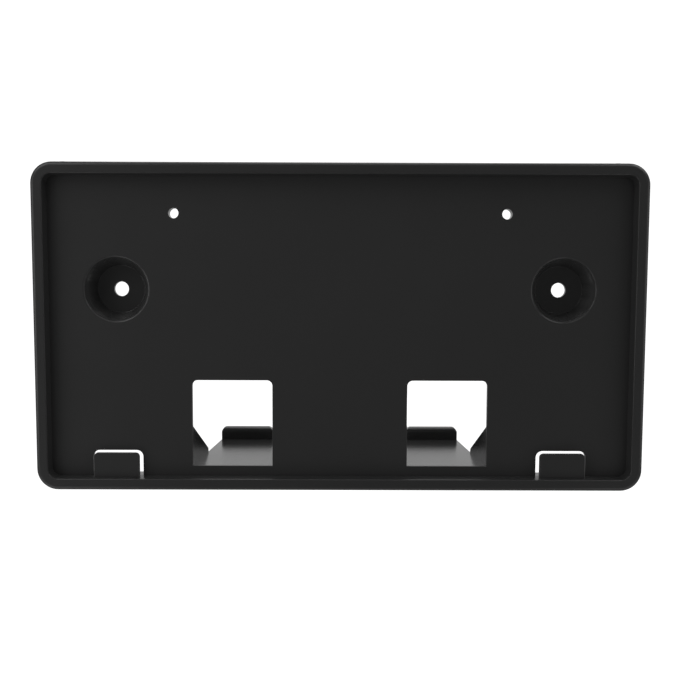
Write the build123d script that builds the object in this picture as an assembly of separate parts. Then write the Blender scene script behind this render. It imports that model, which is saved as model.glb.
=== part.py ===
from build123d import *
import os
from math import radians, tan

# Front number plate holder: one black plastic moulding that bolts to a bumper and takes a 12 by 6 inch plate.
# Lengths are in millimetres and angles in degrees. +X is to the right seen from the front, +Y runs back towards
# the bumper and +Z is up. The origin lies midway between the two bumper bolts, on the flat backs of the pockets.

# The plate, and the room that the tray leaves around it
PLATE_WIDTH = 304.8
PLATE_HEIGHT = 152.4
PLATE_HOLE_SPACING = 177.8
PLATE_HOLE_DROP = 15.9
PLATE_SIDE_GAP = 3.6
PLATE_TOP_GAP = 3.65
PLATE_BOTTOM_GAP = 5.1

# The panel and the rim that stands round it
PANEL_THICKNESS = 2.7
TRAY_CORNER_RADIUS = 4.6
TRAY_DRAFT = 4.5
RIM_HEIGHT = 6.5
RIM_WIDTH = 6.1
RIM_WALL = 2.0
RIM_OUTER_ROUND = 2.3
RIM_INNER_ROUND = 0.7

# The skirt behind the rim, deeper at both ends where the bumper curves away
SKIRT_DEPTH = 9.4
SKIRT_DRAFT = 4.0
END_SKIRT_DEPTH = 18.5
END_SKIRT_FLARE = 16.0
END_RAMP_LENGTH = 19.0
END_RAMP_INSET = 6.5

# The two pockets for the bumper bolts, with four webs round each
BOLT_SPACING = 240.0
BOLT_HOLE_RADIUS = 4.0
POCKET_DEPTH = 11.8
POCKET_MOUTH_RADIUS = 17.2
POCKET_FLOOR_RADIUS = 13.0
POCKET_FLOOR_THICKNESS = 2.7
POCKET_WALL = 2.2
POCKET_MOUTH_ROUND = 1.5
POCKET_FLOOR_FILLET = 0.3
WEB_COUNT = 4
WEB_FIRST_ANGLE = 45.0
WEB_THICKNESS = 1.8
WEB_FOOT = 8.0
WEB_SETBACK = 2.0

# The two plate screw holes, each in a short boss behind the panel
PLATE_HOLE_RISE = 40.5
SCREW_HOLE_RADIUS = 2.75
SCREW_BOSS_WALL = 2.8
SCREW_BOSS_LENGTH = 6.0

# The two windows, and the hooked tab that runs back from the lower edge of each
WINDOW_SPACING = 116.3
WINDOW_WIDTH = 43.3
WINDOW_HEIGHT = 46.75
WINDOW_CORNER_RADIUS = 3.0
TAB_RISE = 5.45
TAB_LENGTH = 74.0
TAB_END_WIDTH = 31.4
TAB_THICKNESS = 2.7
LIP_HEIGHT = 7.6
LIP_THICKNESS = 5.6
LIP_CORNER_RADIUS = 3.3
LIP_FRONT_ROUND = 3.0
LIP_BACK_ROUND = 0.8
GUSSET_THICKNESS = 2.2
GUSSET_LENGTH = 37.5
GUSSET_ROOT_HEIGHT = 22.4
GUSSET_TIP_HEIGHT = 2.1

# The two tongues that hold the lower edge of the plate, each in front of a slot in the panel
TONGUE_SPACING = 240.5
SLOT_WIDTH = 27.1
SLOT_HEIGHT = 13.9
SLOT_CORNER_RADIUS = 3.6
TONGUE_SIDE_GAP = 1.3
TONGUE_TOP_GAP = 0.8
TONGUE_PLATE_GAP = 1.7
TONGUE_THICKNESS = 2.0
TONGUE_CORNER_RADIUS = 2.2
TONGUE_EDGE_ROUND = 0.4

# How far a cutter runs past the face that it opens, and the slack when an edge is picked by its place
OVERRUN = 2.0
SLACK = 0.01

# Depths of the main faces, from front to back
PANEL_Y = -(POCKET_DEPTH + POCKET_FLOOR_THICKNESS)
PANEL_BACK_Y = PANEL_Y + PANEL_THICKNESS
RIM_Y = PANEL_Y - RIM_HEIGHT
SKIRT_Y = PANEL_Y + SKIRT_DEPTH
END_SKIRT_Y = PANEL_Y + END_SKIRT_DEPTH
POCKET_FLOOR_Y = PANEL_Y + POCKET_DEPTH
LIP_Y = PANEL_Y + TAB_LENGTH
TAB_END_Y = LIP_Y + LIP_THICKNESS

# Heights of the main edges
PLATE_TOP_Z = PLATE_HOLE_RISE + PLATE_HOLE_DROP
TRAY_TOP_Z = PLATE_TOP_Z + PLATE_TOP_GAP
TRAY_BOTTOM_Z = PLATE_TOP_Z - PLATE_HEIGHT - PLATE_BOTTOM_GAP
TRAY_MIDDLE_Z = (TRAY_TOP_Z + TRAY_BOTTOM_Z) / 2
TAB_Z = TRAY_BOTTOM_Z + TAB_RISE
TAB_UNDER_Z = TAB_Z - TAB_THICKNESS

# Sizes that follow from the ones above
TRAY_WIDTH = PLATE_WIDTH + 2 * PLATE_SIDE_GAP
TRAY_HEIGHT = TRAY_TOP_Z - TRAY_BOTTOM_Z
TRAY_LEAN = RIM_HEIGHT * tan(radians(TRAY_DRAFT))


def facing(y):
    """Plane that faces the viewer at depth y, with its own axes along +X and +Z."""
    return Plane.XZ.offset(-y)


def flank_grow(y):
    """How far the outer flank of the skirt stands outside the tray outline at depth y."""
    return TRAY_LEAN + RIM_WIDTH + (y - RIM_Y) * tan(radians(SKIRT_DRAFT))


def tray_prism(start_y, end_y, grow, lean):
    """Solid on the tray outline grown by grow at start_y, its walls leaning outwards by lean on the way to end_y."""
    profile = RectangleRounded(TRAY_WIDTH + 2 * grow, TRAY_HEIGHT + 2 * grow, TRAY_CORNER_RADIUS + grow)
    return extrude(facing(start_y) * Pos(0, TRAY_MIDDLE_Z) * profile, amount=start_y - end_y, taper=-lean)


def rounded_top(width, low_z, high_z, radius):
    """Upright rectangle from low_z to high_z with its two upper corners rounded."""
    shape = Pos(0, (low_z + high_z) / 2) * Rectangle(width, high_z - low_z)
    return fillet(shape.vertices().group_by(Axis.Y)[-1], radius)


def edges_at(solid, axis, place):
    """Edges of the solid that are centred on the given place along an axis."""
    return solid.edges().filter_by_position(axis, place - SLACK, place + SLACK)


def both_sides(right_half):
    """The given solids and their mirror images on the left."""
    return right_half + mirror(right_half, Plane.YZ)


def tray():
    """Panel inside a raised rim, with the rim cored out from behind down to an even wall."""
    body = tray_prism(RIM_Y, SKIRT_Y, flank_grow(RIM_Y), SKIRT_DRAFT)
    body -= tray_prism(PANEL_Y, RIM_Y - OVERRUN, 0, TRAY_DRAFT)
    body = fillet(body.faces().sort_by(Axis.Y)[0].outer_wire().edges(), RIM_OUTER_ROUND)
    body = fillet(body.faces().sort_by(Axis.Y)[0].inner_wires()[0].edges(), RIM_INNER_ROUND)
    core_y = RIM_Y + RIM_WALL
    core = tray_prism(core_y, SKIRT_Y + OVERRUN, flank_grow(core_y) - RIM_WALL, SKIRT_DRAFT)
    core -= tray_prism(core_y, SKIRT_Y + OVERRUN, TRAY_LEAN + RIM_WALL, 0)
    return body - core - tray_prism(PANEL_BACK_Y, SKIRT_Y + OVERRUN, 0, 0)


def end_skirts():
    """Deeper flared skirt round each end, ramping down to the even skirt along the top and bottom."""
    grow = flank_grow(SKIRT_Y)
    ring = tray_prism(SKIRT_Y, END_SKIRT_Y, grow, END_SKIRT_FLARE)
    ring -= tray_prism(SKIRT_Y, END_SKIRT_Y, grow - RIM_WALL, END_SKIRT_FLARE)
    full_x = TRAY_WIDTH / 2 + grow - END_RAMP_INSET
    past_x = full_x + TRAY_WIDTH
    ramp = Polygon(
        (full_x - END_RAMP_LENGTH, SKIRT_Y),
        (full_x, END_SKIRT_Y),
        (past_x, END_SKIRT_Y),
        (past_x, SKIRT_Y),
        align=None,
    )
    end_block = extrude(ramp, amount=TRAY_HEIGHT, both=True)
    return ring & both_sides(end_block)


def pocket_cup():
    """Conical cup behind the panel on the right, with webs that brace it."""
    seat = facing(0) * Pos(BOLT_SPACING / 2, 0)
    cup = seat * Cone(
        POCKET_FLOOR_RADIUS + POCKET_WALL,
        POCKET_MOUTH_RADIUS + POCKET_WALL,
        -PANEL_Y,
        align=(Align.CENTER, Align.CENTER, Align.MIN),
    )
    web_profile = Polygon(
        (0, WEB_SETBACK),
        (POCKET_FLOOR_RADIUS + POCKET_WALL, WEB_SETBACK),
        (POCKET_MOUTH_RADIUS + POCKET_WALL + WEB_FOOT, -PANEL_BACK_Y),
        (0, -PANEL_BACK_Y),
        align=None,
    )
    web = extrude(Plane.XZ * web_profile, amount=WEB_THICKNESS / 2, both=True)
    for turn in range(WEB_COUNT):
        cup += seat * Rot(0, 0, WEB_FIRST_ANGLE + turn * 360 / WEB_COUNT) * web
    return cup


def pocket_hollow():
    """Space inside the right pocket, from its floor to its mouth, and the bolt hole through the floor."""
    floor = facing(POCKET_FLOOR_Y) * Pos(BOLT_SPACING / 2, 0)
    hollow = floor * Cone(
        POCKET_FLOOR_RADIUS,
        POCKET_MOUTH_RADIUS,
        POCKET_DEPTH,
        align=(Align.CENTER, Align.CENTER, Align.MIN),
    )
    hollow = fillet(hollow.edges().sort_by(Axis.Y)[-1], POCKET_FLOOR_FILLET)
    return hollow + floor * Cylinder(BOLT_HOLE_RADIUS, 2 * (POCKET_FLOOR_THICKNESS + OVERRUN))


def screw_boss():
    """Round boss behind the panel on the right, where a plate screw bites."""
    boss = Cylinder(
        SCREW_HOLE_RADIUS + SCREW_BOSS_WALL,
        SCREW_BOSS_LENGTH,
        align=(Align.CENTER, Align.CENTER, Align.MAX),
    )
    return facing(PANEL_Y) * Pos(PLATE_HOLE_SPACING / 2, PLATE_HOLE_RISE) * boss


def screw_hole():
    """Plate screw hole on the right, through the panel and its boss."""
    drill = Cylinder(SCREW_HOLE_RADIUS, 2 * (SCREW_BOSS_LENGTH + OVERRUN))
    return facing(PANEL_Y) * Pos(PLATE_HOLE_SPACING / 2, PLATE_HOLE_RISE) * drill


def panel_cutter(middle_x, width, low_z, height, radius):
    """Cutter through the panel alone, for an opening with rounded upper corners."""
    opening = Pos(middle_x, 0) * rounded_top(width, low_z, low_z + height, radius)
    return extrude(facing(PANEL_Y - OVERRUN) * opening, amount=-(PANEL_THICKNESS + 2 * OVERRUN))


def gusset():
    """Rib along the right edge of the tab, from the panel to where it dies out on the tab's floor."""
    near = WINDOW_WIDTH / 2
    end_y = PANEL_Y + GUSSET_LENGTH
    inset = (WINDOW_WIDTH - TAB_END_WIDTH) / 2 * GUSSET_LENGTH / (TAB_END_Y - PANEL_Y)
    strip = Polygon(
        (near, PANEL_Y),
        (near + GUSSET_THICKNESS, PANEL_Y),
        (near + GUSSET_THICKNESS - inset, end_y),
        (near - inset, end_y),
        align=None,
    )
    side = Polygon(
        (PANEL_Y, TAB_UNDER_Z),
        (end_y, TAB_UNDER_Z),
        (end_y, TAB_Z + GUSSET_TIP_HEIGHT),
        (PANEL_Y, TAB_Z + GUSSET_ROOT_HEIGHT),
        align=None,
    )
    rib = extrude(Plane.XY.offset(TAB_UNDER_Z) * strip, amount=TAB_THICKNESS + GUSSET_ROOT_HEIGHT)
    return rib & extrude(Plane.YZ * side, amount=WINDOW_WIDTH)


def hook_tab():
    """Tapered tab behind the right window, with a lip across its far end and a gusset along each side."""
    near, far = WINDOW_WIDTH / 2, TAB_END_WIDTH / 2
    crown_z = TAB_Z + LIP_HEIGHT
    profile = Polygon(
        (PANEL_Y, TAB_UNDER_Z),
        (TAB_END_Y, TAB_UNDER_Z),
        (TAB_END_Y, crown_z),
        (LIP_Y, crown_z),
        (LIP_Y, TAB_Z),
        (PANEL_Y, TAB_Z),
        align=None,
    )
    profile = fillet(profile.vertices().group_by(Axis.Y)[-1].sort_by(Axis.X)[-1], LIP_BACK_ROUND)
    profile = fillet(profile.vertices().group_by(Axis.Y)[-1].sort_by(Axis.X)[0], LIP_FRONT_ROUND)
    plan = Polygon(
        (-near, PANEL_Y),
        (near, PANEL_Y),
        (far, TAB_END_Y),
        (-far, TAB_END_Y),
        align=None,
    )
    lip_share = LIP_THICKNESS / (TAB_END_Y - PANEL_Y)
    lip_width = TAB_END_WIDTH + (WINDOW_WIDTH - TAB_END_WIDTH) * lip_share
    front = rounded_top(lip_width, TAB_Z, crown_z, LIP_CORNER_RADIUS)
    front += Pos(0, (TAB_UNDER_Z + TAB_Z) / 2) * Rectangle(WINDOW_WIDTH, TAB_THICKNESS)
    tab = extrude(Plane.YZ * profile, amount=WINDOW_WIDTH, both=True)
    tab &= extrude(Plane.XY.offset(TAB_UNDER_Z) * plan, amount=TAB_THICKNESS + LIP_HEIGHT)
    tab &= extrude(facing(PANEL_Y) * front, amount=PANEL_Y - TAB_END_Y)
    return Pos(WINDOW_SPACING / 2, 0, 0) * (tab + both_sides(gusset()))


def tongue():
    """Tongue that rises from the lower rim on the right, clear of the panel by the plate's own gap."""
    low_z = TRAY_BOTTOM_Z - RIM_WALL / 2
    high_z = TRAY_BOTTOM_Z + SLOT_HEIGHT - TONGUE_TOP_GAP
    shape = rounded_top(SLOT_WIDTH - 2 * TONGUE_SIDE_GAP, low_z, high_z, TONGUE_CORNER_RADIUS)
    back = facing(PANEL_Y - TONGUE_PLATE_GAP) * Pos(TONGUE_SPACING / 2, 0)
    blade = extrude(back * shape, amount=TONGUE_THICKNESS)
    face_edges = blade.faces().sort_by(Axis.Y)[0].edges()
    return fillet(face_edges.sort_by(Axis.Z)[1:], TONGUE_EDGE_ROUND)


def holder():
    """The whole moulding."""
    body = tray() + end_skirts()
    window = panel_cutter(WINDOW_SPACING / 2, WINDOW_WIDTH, TAB_Z, WINDOW_HEIGHT, WINDOW_CORNER_RADIUS)
    slot = panel_cutter(TONGUE_SPACING / 2, SLOT_WIDTH, TRAY_BOTTOM_Z, SLOT_HEIGHT, SLOT_CORNER_RADIUS)
    body -= both_sides(window + slot)
    body += both_sides(pocket_cup() + screw_boss() + hook_tab() + tongue())
    body -= both_sides(pocket_hollow() + screw_hole())
    mouths = edges_at(body, Axis.Y, PANEL_Y).filter_by(GeomType.CIRCLE)
    mouths = mouths.filter_by(lambda edge: abs(edge.radius - POCKET_MOUTH_RADIUS) < POCKET_MOUTH_ROUND)
    return fillet(mouths, POCKET_MOUTH_ROUND)


os.makedirs("parts", exist_ok=True)
export_step(holder(), "parts/holder.step")
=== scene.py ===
"""Studio scene of a front number plate holder, a black plastic moulding, built round its CAD frame."""

import logging
import math
from dataclasses import dataclass

import bmesh
import bpy
from mathutils import Matrix, Vector


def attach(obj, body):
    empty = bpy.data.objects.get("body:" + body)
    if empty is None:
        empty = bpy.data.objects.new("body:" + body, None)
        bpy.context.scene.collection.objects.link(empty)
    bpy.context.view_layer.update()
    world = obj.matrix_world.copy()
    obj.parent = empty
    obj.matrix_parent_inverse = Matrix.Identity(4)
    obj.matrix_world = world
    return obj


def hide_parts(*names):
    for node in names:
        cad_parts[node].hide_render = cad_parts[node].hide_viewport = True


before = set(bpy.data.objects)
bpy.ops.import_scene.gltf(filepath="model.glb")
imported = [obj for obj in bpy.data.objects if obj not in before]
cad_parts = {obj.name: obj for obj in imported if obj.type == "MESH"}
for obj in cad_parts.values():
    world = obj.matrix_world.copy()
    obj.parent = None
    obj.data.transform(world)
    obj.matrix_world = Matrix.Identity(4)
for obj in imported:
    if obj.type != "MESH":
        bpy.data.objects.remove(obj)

LOG = logging.getLogger("number_plate_holder")
MM = 0.001

Point = tuple[float, float, float]
Socket = bpy.types.NodeSocket


@dataclass
class ShaderBoard:
    """A shader's node tree, with short ways to add the nodes that the finishes share."""

    tree: bpy.types.NodeTree

    def add(self, kind: str) -> bpy.types.Node:
        """Add a node, named by its type without the leading ShaderNode."""
        return self.tree.nodes.new("ShaderNode" + kind)

    def feed(self, socket: Socket, source: Socket | float) -> None:
        """Link an input to an output, or give it a number.

        Args:
            socket: The input to feed.
            source: An output of another node, or a number.
        """
        if isinstance(source, Socket):
            self.tree.links.new(source, socket)
        else:
            socket.default_value = source

    def calculate(self, operation: str, *terms: Socket | float) -> Socket:
        """Add a math node.

        Args:
            operation: Blender's name of the operation.
            terms: Outputs or numbers, in the order of the node's inputs.

        Returns:
            The result.
        """
        node = self.add("Math")
        node.operation = operation
        for socket, term in zip(node.inputs, terms):
            self.feed(socket, term)
        return node.outputs["Value"]

    def map_range(self, value: Socket, start: tuple[float, float], end: tuple[float, float]) -> Socket:
        """Add a node that maps a value from one range to another, and no further.

        Args:
            value: The output to map.
            start: Lowest and highest value to map.
            end: What those two values become.

        Returns:
            The mapped value.
        """
        node = self.add("MapRange")
        self.feed(node.inputs["Value"], value)
        for name, (lowest, highest) in (("From", start), ("To", end)):
            node.inputs[name + " Min"].default_value = lowest
            node.inputs[name + " Max"].default_value = highest
        return node.outputs["Result"]

    def noise(self, place: Socket, size: float, detail: float) -> Socket:
        """Add a noise pattern.

        Args:
            place: The coordinates that the pattern follows.
            size: Size of its largest spots, in metres.
            detail: How many finer layers it has.

        Returns:
            The pattern, about 0 to 1.
        """
        node = self.add("TexNoise")
        self.feed(node.inputs["Vector"], place)
        node.inputs["Scale"].default_value = 1.0 / size
        node.inputs["Detail"].default_value = detail
        return node.outputs["Fac"]


@dataclass(frozen=True)
class SatinPlastic:
    """Black plastic, dyed through, satin on its show side and smoother inside the rim behind."""

    name: str = "black_plastic"
    shade: float = 0.039
    shade_spread: float = 0.002
    ior: float = 1.47
    roughness: float = 0.3
    smooth_roughness: float = 0.2
    roughness_spread: float = 0.02
    smooth_low: Point = (-157.0 * MM, -12.8 * MM, -102.0 * MM)
    smooth_high: Point = (157.0 * MM, 70.0 * MM, 61.0 * MM)
    smooth_fade: float = 0.01
    cloud_size: float = 35.0 * MM
    cloud_detail: float = 3.0
    grain_size: float = 0.45 * MM
    grain_depth: float = 0.012 * MM
    grain_detail: float = 2.0

    def lowest_roughness(self, board: ShaderBoard, place: Socket) -> Socket:
        """Tell the box of smoother plastic from the rest.

        Args:
            board: The finish's nodes.
            place: Object coordinates.

        Returns:
            The roughness at each place, before the clouds add their share.
        """
        low, high = Vector(self.smooth_low), Vector(self.smooth_high)
        boxed = board.add("Mapping")
        boxed.vector_type = "TEXTURE"
        boxed.inputs["Location"].default_value = (low + high) / 2.0
        boxed.inputs["Scale"].default_value = (high - low) / 2.0
        board.feed(boxed.inputs["Vector"], place)
        reach = board.add("VectorMath")
        reach.operation = "ABSOLUTE"
        board.feed(reach.inputs[0], boxed.outputs["Vector"])
        split = board.add("SeparateXYZ")
        board.feed(split.inputs["Vector"], reach.outputs["Vector"])
        across = board.calculate("MAXIMUM", split.outputs["X"], split.outputs["Z"])
        furthest = board.calculate("MAXIMUM", across, split.outputs["Y"])
        inside = self.smooth_roughness - self.roughness_spread
        outside = self.roughness - self.roughness_spread
        return board.map_range(furthest, (1.0 - self.smooth_fade, 1.0), (inside, outside))

    def material(self) -> bpy.types.Material:
        """Build the node tree of the finish.

        Returns:
            The material, reading Object coordinates.
        """
        material = bpy.data.materials.new(self.name)
        material.use_nodes = True
        board = ShaderBoard(material.node_tree)
        shader = material.node_tree.nodes["Principled BSDF"]
        shader.inputs["IOR"].default_value = self.ior
        place = board.add("TexCoord").outputs["Object"]

        cloud = board.noise(place, self.cloud_size, self.cloud_detail)
        tones = (self.shade - self.shade_spread, self.shade + self.shade_spread)
        board.feed(shader.inputs["Base Color"], board.map_range(cloud, (0.0, 1.0), tones))

        lowest = self.lowest_roughness(board, place)
        roughness = board.calculate("MULTIPLY_ADD", cloud, 2.0 * self.roughness_spread, lowest)
        board.feed(shader.inputs["Roughness"], roughness)

        grain = board.add("Bump")
        grain.inputs["Distance"].default_value = self.grain_depth
        board.feed(grain.inputs["Height"], board.noise(place, self.grain_size, self.grain_detail))
        board.feed(shader.inputs["Normal"], grain.outputs["Normal"])
        return material


@dataclass
class Moulding:
    """The holder itself: the CAD form with its outer edges eased, as a polished mould leaves them."""

    node: str = "holder"
    body: str = "root"
    name: str = "holder_moulding"
    finish: SatinPlastic = SatinPlastic()
    weld: float = 0.002 * MM
    flat_angle: float = 0.5
    edge_angle: float = 28.0
    edge_round: float = 0.2 * MM
    edge_steps: int = 2
    edge_profile: float = 0.5
    sharp_angle: float = 35.0
    flat_weight: int = 100
    most_corners: int = 4

    def welded(self) -> bmesh.types.BMesh:
        """Copy the CAD node's loose triangles into one closed skin of whole faces.

        Returns:
            The skin, free of double points and of edges inside flat faces.
        """
        skin = bmesh.new()
        skin.from_mesh(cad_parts[self.node].data)
        bmesh.ops.remove_doubles(skin, verts=skin.verts, dist=self.weld)
        flat = math.radians(self.flat_angle)
        bmesh.ops.dissolve_limit(skin, angle_limit=flat, verts=skin.verts, edges=skin.edges)
        return skin

    def ease(self, skin: bmesh.types.BMesh) -> None:
        """Round the sharp outer edges of the skin.

        Args:
            skin: The closed skin, changed in place.
        """
        limit = math.radians(self.edge_angle)
        outer = [edge for edge in skin.edges if edge.is_convex]
        bmesh.ops.bevel(
            skin,
            geom=[edge for edge in outer if edge.calc_face_angle(0.0) > limit],
            offset=self.edge_round,
            offset_type="OFFSET",
            segments=self.edge_steps,
            profile=self.edge_profile,
            affect="EDGES",
            clamp_overlap=False,
            loop_slide=True,
        )

    def settle(self, piece: bpy.types.Object) -> None:
        """Shade flat faces as flat beside their eased edges, and split faces of many corners.

        Args:
            piece: The moulding, whose mesh is exchanged for the finished one.
        """
        keep_flat = piece.modifiers.new("keep_flat", "WEIGHTED_NORMAL")
        keep_flat.mode = "FACE_AREA"
        keep_flat.weight = self.flat_weight
        keep_flat.keep_sharp = True
        split = piece.modifiers.new("split", "TRIANGULATE")
        split.min_vertices = self.most_corners + 1
        split.keep_custom_normals = True
        evaluated = piece.evaluated_get(bpy.context.evaluated_depsgraph_get())
        rough, done = piece.data, bpy.data.meshes.new_from_object(evaluated)
        piece.modifiers.clear()
        piece.data = done
        bpy.data.meshes.remove(rough)
        done.name = self.name

    def build(self) -> bpy.types.Object:
        """Make the eased moulding and put it in the CAD node's place.

        Returns:
            The moulding.
        """
        skin = self.welded()
        self.ease(skin)
        mesh = bpy.data.meshes.new(self.name)
        skin.to_mesh(mesh)
        skin.free()
        mesh.shade_smooth()
        mesh.set_sharp_from_angle(angle=math.radians(self.sharp_angle))
        mesh.materials.append(self.finish.material())
        piece = bpy.data.objects.new(self.name, mesh)
        bpy.context.scene.collection.objects.link(piece)
        self.settle(piece)
        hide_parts(self.node)
        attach(piece, self.body)
        return piece


@dataclass
class Backdrop:
    """White floor that sweeps up into a wall behind the part."""

    floor_z: float = -0.42
    front_y: float = 0.0
    wall_y: float = 1.6
    sweep_radius: float = 0.6
    wall_top: float = 2.6
    half_width: float = 1.0
    sweep_steps: int = 16
    glow: float = 1.0
    # Painted shade: in reflections the floor glows less than the wall, standing in for the shade
    # behind the part.
    floor_painted_shade_glow: float = 0.2
    wall_mirrored_glow: float = 0.67
    painted_shade_top_z: float = 0.1
    albedo: float = 0.8

    def material(self) -> bpy.types.Material:
        """Build the white of the backdrop, plain white to the camera but for shadows; in reflections
        its glow falls towards the floor as painted shade.

        Returns:
            The backdrop's material.
        """
        material = bpy.data.materials.new("white_backdrop")
        material.use_nodes = True
        board = ShaderBoard(material.node_tree)
        nodes = material.node_tree.nodes
        nodes.remove(nodes["Principled BSDF"])

        split = board.add("SeparateXYZ")
        board.feed(split.inputs["Vector"], board.add("NewGeometry").outputs["Position"])
        # Painted shade: the glow that reflections see falls from the wall's level to a lower one on
        # the floor, standing in for the shade on the floor behind the part.
        heights = (self.floor_z, self.painted_shade_top_z)
        glows = (self.floor_painted_shade_glow, self.wall_mirrored_glow)
        painted_shade_mirrored_glow = board.map_range(split.outputs["Z"], heights, glows)

        ray = board.add("LightPath").outputs
        mirrored = board.calculate("MAXIMUM", ray["Is Glossy Ray"], ray["Is Transmission Ray"])
        dimmed = board.calculate("MULTIPLY", mirrored, painted_shade_mirrored_glow)
        level = board.calculate("MULTIPLY_ADD", ray["Is Camera Ray"], self.glow, dimmed)

        matte = board.add("BsdfDiffuse")
        matte.inputs["Color"].default_value = (self.albedo, self.albedo, self.albedo, 1.0)
        glow = board.add("Emission")
        board.feed(glow.inputs["Strength"], level)
        both = board.add("AddShader")
        board.feed(both.inputs[0], matte.outputs["BSDF"])
        board.feed(both.inputs[1], glow.outputs["Emission"])
        board.feed(nodes["Material Output"].inputs["Surface"], both.outputs["Shader"])
        return material

    def build(self) -> bpy.types.Object:
        """Make the sweep as one strip.

        Returns:
            The backdrop object.
        """
        profile = [(self.front_y, self.floor_z)]
        for step in range(self.sweep_steps + 1):
            turn = math.pi / 2 * step / self.sweep_steps
            y = self.wall_y - self.sweep_radius + self.sweep_radius * math.sin(turn)
            z = self.floor_z + self.sweep_radius * (1.0 - math.cos(turn))
            profile.append((y, z))
        profile.append((self.wall_y, self.wall_top))
        points = [(x, y, z) for y, z in profile for x in (-self.half_width, self.half_width)]
        faces = [(2 * i, 2 * i + 1, 2 * i + 3, 2 * i + 2) for i in range(len(profile) - 1)]
        mesh = bpy.data.meshes.new("backdrop")
        mesh.from_pydata(points, [], faces)
        mesh.shade_smooth()
        mesh.materials.append(self.material())
        sheet = bpy.data.objects.new("backdrop", mesh)
        bpy.context.scene.collection.objects.link(sheet)
        return sheet


@dataclass(frozen=True)
class SoftBox:
    """Square studio lamp that faces the part.

    It is placed by its angle off the front axis and, seen from the front, by its angle round that
    axis from the right over the top, both in degrees.
    """

    name: str
    off_axis: float
    round_axis: float
    power: float
    side: float = 0.3
    distance: float = 0.55

    def build(self, aim: Vector) -> bpy.types.Object:
        """Make the lamp, out of the camera's sight.

        Args:
            aim: The point that the lamp faces.

        Returns:
            The lamp object.
        """
        slope, turn = math.radians(self.off_axis), math.radians(self.round_axis)
        spread = math.sin(slope)
        away = Vector((spread * math.cos(turn), -math.cos(slope), spread * math.sin(turn)))
        lamp = bpy.data.lights.new(self.name, "AREA")
        lamp.shape = "SQUARE"
        lamp.size = self.side
        lamp.energy = self.power
        stand = bpy.data.objects.new(self.name, lamp)
        stand.location = aim + away * self.distance
        stand.rotation_mode = "QUATERNION"
        stand.rotation_quaternion = (-away).to_track_quat("-Z", "Y")
        stand.visible_camera = False
        bpy.context.scene.collection.objects.link(stand)
        return stand


@dataclass
class Studio:
    """Backdrop, lamps and surrounding light."""

    aim: Point = (0.0, -14.5 * MM, -20.0 * MM)
    surround: float = 0.12
    lamps: tuple[SoftBox, ...] = (
        SoftBox("right", off_axis=65.0, round_axis=0.0, power=0.09),
        SoftBox("upper", off_axis=65.0, round_axis=90.0, power=0.04),
        SoftBox("upper_left", off_axis=65.0, round_axis=135.0, power=0.47),
        SoftBox("left", off_axis=65.0, round_axis=180.0, power=0.4),
        SoftBox("lower_left", off_axis=65.0, round_axis=225.0, power=0.28),
        SoftBox("lower", off_axis=65.0, round_axis=270.0, power=0.09),
        SoftBox("lower_right", off_axis=65.0, round_axis=315.0, power=0.21),
        SoftBox("right_edge", off_axis=80.0, round_axis=0.0, power=0.17),
        SoftBox("upper_right_edge", off_axis=80.0, round_axis=45.0, power=0.54),
        SoftBox("upper_edge", off_axis=80.0, round_axis=90.0, power=0.29),
        SoftBox("upper_left_edge", off_axis=80.0, round_axis=135.0, power=0.07),
        SoftBox("front", off_axis=0.0, round_axis=0.0, power=0.03, side=0.45, distance=1.0),
        SoftBox("rear", off_axis=120.0, round_axis=90.0, power=3.0, side=0.8, distance=1.0),
    )

    def light_surround(self) -> None:
        """Set the light that reaches the part from all round; the camera sees white."""
        world = bpy.data.worlds.new("surround")
        world.use_nodes = True
        board = ShaderBoard(world.node_tree)
        seen = board.add("LightPath").outputs["Is Camera Ray"]
        level = board.map_range(seen, (0.0, 1.0), (self.surround, 1.0))
        background = world.node_tree.nodes["Background"]
        background.inputs["Color"].default_value = (1.0, 1.0, 1.0, 1.0)
        board.feed(background.inputs["Strength"], level)
        bpy.context.scene.world = world

    def build(self) -> None:
        """Make the backdrop, the lamps and the surrounding light."""
        Backdrop().build()
        for lamp in self.lamps:
            lamp.build(Vector(self.aim))
        self.light_surround()


@dataclass
class PhotoCamera:
    """Camera at the photograph's own viewpoint, with its angles in degrees."""

    place: Point = (-1.2 * MM, -463.7 * MM, 7.92 * MM)
    pitch: float = 4.4325
    yaw: float = 0.1514
    roll: float = 0.1907
    focal_pixels: float = 837.7
    picture_side: float = 680.0
    sensor_width: float = 36.0
    nearest: float = 0.01
    furthest: float = 50.0

    def build(self) -> bpy.types.Object:
        """Make the camera and hand it to the scene.

        Returns:
            The camera object.
        """
        data = bpy.data.cameras.new("photo_camera")
        data.sensor_width = self.sensor_width
        data.lens = self.focal_pixels / self.picture_side * self.sensor_width
        data.clip_start = self.nearest
        data.clip_end = self.furthest
        camera = bpy.data.objects.new("photo_camera", data)
        turn = Matrix.Rotation(math.radians(-self.yaw), 4, "Z")
        tilt = Matrix.Rotation(math.radians(90.0 - self.pitch), 4, "X")
        lean = Matrix.Rotation(math.radians(self.roll), 4, "Z")
        camera.matrix_world = Matrix.Translation(self.place) @ turn @ tilt @ lean
        bpy.context.scene.collection.objects.link(camera)
        bpy.context.scene.camera = camera
        return camera


def main() -> None:
    """Build the part, the studio and the camera."""
    logging.basicConfig(level=logging.INFO)
    bpy.context.scene.view_settings.view_transform = "Standard"
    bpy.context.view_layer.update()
    part = Moulding().build()
    LOG.info("built %s, %d faces", part.name, len(part.data.polygons))
    Studio().build()
    PhotoCamera().build()


if __name__ == "__main__":
    main()
